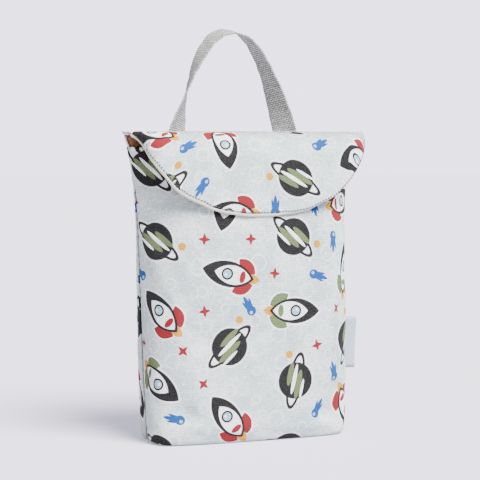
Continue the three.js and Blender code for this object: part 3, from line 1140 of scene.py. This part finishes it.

# %% [markdown]
# ## The print's ground
# The ground is a pale grey green, brushed unevenly, with thicker threads that take up more of the dye.
# Where the stiff flap bends over the mouth, its cloth stands in fine ribs, and their shade is painted as
# dark lines in the colour. Those lie at one distance from the flap's sewn edge, and the flap counts its
# flat places from that edge downwards, below zero, so the painted ribs need no map of their own.

# %% Ground
GROUND = (0.44, 0.53, 0.55, 1)
GROUND_PALE = (0.70, 0.745, 0.74, 1)
SLUB_TONE = (0.30, 0.36, 0.37, 1)

printed, printed_in, printed_gives = new_group("Tossed print", {"Flat": "Vector"}, {"Colour": "Color"})
print_flat = printed_in["Flat"]


def cloudy(scale, **feeds):
    return put("TexNoise", {"Vector": print_flat, "Scale": scale, **feeds})[0]


mottle = masked(cloudy(0.026, Detail=5.0, Roughness=0.6), 0.38, 0.64)
print_colour = paint(GROUND, GROUND_PALE, mottle)
slubs = masked(cloudy(0.34, Detail=3.0, Roughness=0.7), 0.42, 0.66, high=0.5)
print_colour = paint(print_colour, SLUB_TONE, slubs)
print("ground nodes:", len(printed.nodes))

# %% Painted shade of the ribs along the fold
FOLD_START, FOLD_MIDDLE, FOLD_END = -68.0, -40.0, -12.0  # mm, strongest at the middle
RIB_PITCH = 2.1
RIB_SWAY = 14.0
# painted shade of the ribs, in dark lines
RIB_SHADE = (0.03, 0.036, 0.036, 1)

flat_across, flat_up, _ = parts(print_flat)
sway = cloudy(0.12, Detail=2.0)
rib_turn = sums("MULTIPLY", flat_across, 2 * math.pi / RIB_PITCH)
rib_turn = sums("ADD", rib_turn, sums("MULTIPLY", sway, RIB_SWAY))
rib = masked(sums("SINE", rib_turn), -0.2, 0.9)
rising, falling = (masked(flat_up, end, FOLD_MIDDLE) for end in (FOLD_START, FOLD_END))
patchy = masked(sway, 0.3, 0.6, 0.5, 1.3)
rib_shade_mask = sums("MULTIPLY", rib, sums("MULTIPLY", rising, falling))
# painted shade of the ribs over the ground
print_colour = paint(print_colour, RIB_SHADE, sums("MULTIPLY", rib_shade_mask, patchy))
print("ribs every", RIB_PITCH, "mm")

# %% [markdown]
# ## The whole print
# The motifs are printed over the ground from the faintest to the boldest: pale rings and dots, then
# comets and stars between the large motifs, then the rockets and planets. Each kind is scattered by
# its own cells, with its own shift and seed.

# %% Rings and dots
RING_TONE = (0.70, 0.73, 0.73, 1)
RING_LEAST = RING_SPREAD = 4.0  # the smallest ring, and how much larger one may be


def scattered(shift, cell, jitter, seed):
    place = {"Flat": print_flat, "Shift": (*shift, 0)}
    return use(tossed, {**place, "Cell": cell, "Jitter": jitter, "Seed": seed})


ring_spots = scattered((7, 4), 27.0, 5.0, 3.0)
ring_size = sums("ADD", sums("MULTIPLY", ring_spots["Tint"], RING_SPREAD), RING_LEAST)
ring_off = sums("ABSOLUTE", sums("SUBTRACT", size_of(ring_spots["Spot"]), ring_size))
print_colour = paint(print_colour, RING_TONE, masked(ring_off, 1.0, 0.5, high=0.8))
dot_spots = scattered((2, 9), 15.0, 5.0, 9.0)
dot_mask = masked(size_of(dot_spots["Spot"]), 1.5, 0.9, high=0.85)
print_colour = paint(print_colour, RING_TONE, dot_mask)
print("nodes with rings and dots:", len(printed.nodes))

# %% Motifs on the print
PRINT_CELL = 70.0
MOTIF_SCALE = 1.14
SMALL_PLACES = (((PRINT_CELL / 3, PRINT_CELL / 2), 21.0), ((2 * PRINT_CELL / 3, 0), 34.0))  # shift, seed
COMETS_BELOW, STARS_ABOVE, RED_ABOVE = 0.36, 0.80, 0.6
ROCKETS_BELOW, SAGE_ABOVE = 0.55, 0.5


def printed_motif(under, spots, group, accent, mask):
    """Prints one motif in the cells that the mask chooses."""
    spot = vectors("DIVIDE", spots["Spot"], (MOTIF_SCALE, MOTIF_SCALE, 1))
    made = use(group, {"Spot": spot, "Accent": accent})
    return paint(under, made["Colour"], sums("MULTIPLY", made["Mask"], mask))


for shift, seed in SMALL_PLACES:
    spots = scattered(shift, PRINT_CELL, 3.0, seed)
    is_comet = sums("LESS_THAN", spots["Pick"], COMETS_BELOW)
    is_star = sums("GREATER_THAN", spots["Pick"], STARS_ABOVE)
    star_tone = paint(YELLOW, RED, sums("GREATER_THAN", spots["Tint"], RED_ABOVE))
    print_colour = printed_motif(print_colour, spots, comet, BLUE, is_comet)
    print_colour = printed_motif(print_colour, spots, star, star_tone, is_star)

spots = scattered((0, 0), PRINT_CELL, 2.5, 7.0)
is_rocket = sums("LESS_THAN", spots["Pick"], ROCKETS_BELOW)
large_tone = paint(RED, SAGE, sums("GREATER_THAN", spots["Tint"], SAGE_ABOVE))
print_colour = printed_motif(print_colour, spots, rocket, large_tone, is_rocket)
is_planet = sums("SUBTRACT", 1.0, is_rocket)
print_colour = printed_motif(print_colour, spots, planet, large_tone, is_planet)
feed(printed_gives, {"Colour": print_colour})
print("print nodes:", len(printed.nodes))

# %% [markdown]
# ## Cloth finishes
# Every cloth here is matt, with a soft sheen from its fibres. The weave gives the bump, and the thread
# shading the colour and the roughness. The Principled shader stays in each material, where sheen and
# gloss are set as plain numbers, because they are the same all over.

# %% Cloth materials
CLOTH_GLOSS = 0.08
THREAD_RELIEF = 0.3 * MM
FACING_TONE = (0.57, 0.545, 0.46, 1)
LINING_TONE = (0.30, 0.14, 0.06, 1)
TAPE_TONE = (0.31, 0.36, 0.41, 1)


def raised(height, strength, relief):
    return put("Bump", {"Height": height, "Strength": strength, "Distance": relief})[0]


def woven(name, colour, pitch, bump, contrast, roughness, sheen):
    """A woven finish of one colour, or where colour is a group, of the colour that it makes."""
    material, tree, shader = new_finish(name)
    flat = put("UVMap", tree=tree, uv_map="Cloth")[0]
    threads = use(weave, {"Flat": flat, "Pitch": (pitch, pitch, 1)})
    tone = colour if isinstance(colour, tuple) else use(colour, {"Flat": flat})["Colour"]
    made = use(shading, {
        "Colour": tone, "Height": threads["Height"], "Thread": threads["Thread"],
        "Contrast": contrast, "Roughness": roughness,
    })
    feed(shader, {
        "Base Color": made["Colour"], "Roughness": made["Roughness"],
        "Normal": raised(threads["Height"], bump, THREAD_RELIEF),
        "Sheen Weight": sheen, "Specular IOR Level": CLOTH_GLOSS,
    })
    print(name, "woven at", pitch, "mm")
    return material


printed_cloth = woven("printed_cloth", printed, 1.6, bump=0.85, contrast=0.30, roughness=0.82, sheen=0.02)
flap_facing = woven("flap_facing", FACING_TONE, 0.7, bump=0.3, contrast=0.10, roughness=0.85, sheen=0.12)
lining_cloth = woven("lining_cloth", LINING_TONE, 0.7, bump=0.3, contrast=0.16, roughness=0.85, sheen=0.1)
satin_tape = woven("satin_tape", TAPE_TONE, 0.45, bump=0.15, contrast=0.06, roughness=0.5, sheen=0.2)

# %% [markdown]
# ## Webbing
# Heavy webbing is woven from flat bundles of thread that lie in staggered rows, like bricks, with
# shaded gaps between them. A brick pattern on the strap's flat places gives the colour and the relief
# of the bundles, and paints the shade in the gaps as a dark mortar.

# %% Webbing material
BUNDLE = (3.6, 2.1)  # mm, along the row and from row to row
BUNDLE_PALE = (0.42, 0.42, 0.41, 1)
BUNDLE_DULL = (0.27, 0.27, 0.262, 1)
# painted shade in the gaps between the bundles and between the fine threads
BUNDLE_GAP_SHADE = (0.02, 0.02, 0.02, 1)
BUNDLE_BUMP, BUNDLE_RELIEF = 0.9, 0.5 * MM
FINE_PITCH, FINE_CONTRAST = 0.8, 0.22

webbing, webbing_tree, webbing_shader = new_finish("grey_webbing")
webbing_flat = put("UVMap", tree=webbing_tree, uv_map="Cloth")[0]
bundle_feeds = {
    "Vector": webbing_flat, "Color1": BUNDLE_PALE, "Color2": BUNDLE_DULL, "Mortar": BUNDLE_GAP_SHADE,
    "Scale": 1.0, "Mortar Size": 0.28, "Mortar Smooth": 0.6,
    "Brick Width": BUNDLE[0], "Row Height": BUNDLE[1],
}
bundles = put("TexBrick", bundle_feeds, offset=0.5)
fine = use(weave, {"Flat": webbing_flat, "Pitch": (FINE_PITCH, FINE_PITCH, 1)})
# painted shade in the dips of the fine weave
fine_gap_shade = sums("MULTIPLY", sums("SUBTRACT", 1.0, fine["Height"]), FINE_CONTRAST)
feed(webbing_shader, {
    "Base Color": paint(bundles["Color"], BUNDLE_GAP_SHADE, fine_gap_shade),
    "Normal": raised(sums("SUBTRACT", 1.0, bundles["Fac"]), BUNDLE_BUMP, BUNDLE_RELIEF),
    "Roughness": 0.78, "Sheen Weight": 0.01, "Specular IOR Level": CLOTH_GLOSS,
})
print("webbing bundles:", BUNDLE, "mm")

# %% [markdown]
# ## Sewing thread
# The threads are fine twisted yarn, too thin for their twist to show, so a small noise gives their
# fuzz. Both colours of thread share it, so it is a group.

# %% Thread materials
FUZZ_SCALE = 2400.0
FUZZ_SHADE = (0.7, 0.7, 0.7)
FUZZ_BUMP, FUZZ_RELIEF = 0.4, 0.1 * MM

fuzz, fuzz_in, fuzz_gives = new_group(
    "Thread fuzz", {"Place": "Vector", "Colour": "Color"}, {"Colour": "Color", "Height": "Float"}
)
fuzz_feeds = {"Vector": fuzz_in["Place"], "Scale": FUZZ_SCALE, "Detail": 2.0}
fuzzy = put("TexNoise", fuzz_feeds)[0]
fuzz_dark = vectors("MULTIPLY", fuzz_in["Colour"], FUZZ_SHADE)
feed(fuzz_gives, {"Colour": paint(fuzz_dark, fuzz_in["Colour"], fuzzy), "Height": fuzzy})


def thread_finish(name, colour):
    material, tree, shader = new_finish(name)
    place = put("TexCoord", tree=tree)["Object"]
    made = use(fuzz, {"Place": place, "Colour": colour})
    bump = raised(made["Height"], FUZZ_BUMP, FUZZ_RELIEF)
    feed(shader, {"Base Color": made["Colour"], "Normal": bump, "Roughness": 0.75})
    return material


hem_thread = thread_finish("hem_thread", (0.03, 0.03, 0.029, 1))
grey_thread = thread_finish("grey_thread", (0.24, 0.24, 0.24, 1))
print("threads:", hem_thread.name, grey_thread.name)

# %% [markdown]
# ## Dressing the pieces
# A piece's material slots are filled in order. A panel and the flap have two: the first shows outside
# and along the edges, and the second on the inner face that Solidify made.

# %% Finishes
finishes = {
    front: [printed_cloth, lining_cloth],
    back: [printed_cloth, lining_cloth],
    linings[0]: [lining_cloth],
    linings[1]: [lining_cloth],
    flap: [printed_cloth, flap_facing],
    flap_roll: [flap_facing],
    strap: [webbing],
    label: [satin_tape],
    topstitch: [hem_thread],
    box_stitches: [grey_thread],
}
for piece, slots in finishes.items():
    for finish in slots:
        piece.data.materials.append(finish)
print("pieces dressed:", len(finishes))

# %% [markdown]
# ## Bodies
# The bag has no joints, so every piece rides on the one body. A laid cloth stands for the solid that
# it was measured on. The roll and the stitches are extra, and only ride on the body.

# %% Ride and replace
for piece, node, slot in (
    (front, "front_panel", "printed_cloth"),
    (back, "back_panel", "printed_cloth"),
    (linings[0], "front_lining", "lining_cloth"),
    (linings[1], "back_lining", "lining_cloth"),
    (flap, "flap", "printed_cloth"),
    (strap, "handle", "webbing"),
    (label, "side_label", "label_tape"),
):
    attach(piece, "root")
    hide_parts(node)
    print(piece.name, "stands for", node)
for piece, slot in (
    (flap_roll, "printed_cloth"), (topstitch, "printed_cloth"), (box_stitches, "webbing")
):
    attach(piece, "root")

# %% [markdown]
# ## Flat sizes
# Each cloth says the flat size it was cut to, which lets a reader check that no piece was stretched on
# its way onto the form. The size comes from the grid's flat places, and the area from its cells.

# %% Sheets
def grid_area(places):
    """The area of a laid grid, summed over its cells."""
    area = 0.0
    for low_row, high_row in zip(places, places[1:]):
        for c in range(len(low_row) - 1):
            one = (low_row[c + 1] - low_row[c]).cross(high_row[c] - low_row[c]).length
            two = (high_row[c] - high_row[c + 1]).cross(low_row[c + 1] - high_row[c + 1]).length
            area += (one + two) / 2
    return area


def cut_size(flats):
    """The width and length, in metres, of the cloth that a laid grid was cut from."""
    spread = [place for row in flats for place in row]
    return tuple((max(p[k] for p in spread) - min(p[k] for p in spread)) * MM for k in (0, 1))


for piece, (places, flats), held, rests_on, with_pieces in (
    (front, (front_places, front_flats), "stretched", ["front_lining_cloth"], []),
    (back, (back_places, back_flats), "stretched", ["back_lining_cloth"], []),
    (linings[0], lining_grids[0], "hung", ["front_cloth"], []),
    (linings[1], lining_grids[1], "hung", ["back_cloth"], []),
    (flap, (flap_places, flap_flats), "draped", ["back_cloth", "front_cloth"], [flap_roll, topstitch]),
):
    size = cut_size(flats)
    grid_area(places)
    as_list(rests_on)
    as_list(with_pieces)
    print(piece.name, "cut to", [round(x, 3) for x in size], "m, area", round(grid_area(places), 4), "m2")

# %% [markdown]
# ## The solids' box
# Cloth may stand a little proud of the solids. The solids' box, from the start of the lesson, is
# written down.

# %% Sizes and the end
print("solids' box:", [[round(x, 4) for x in corner] for corner in cad_box])
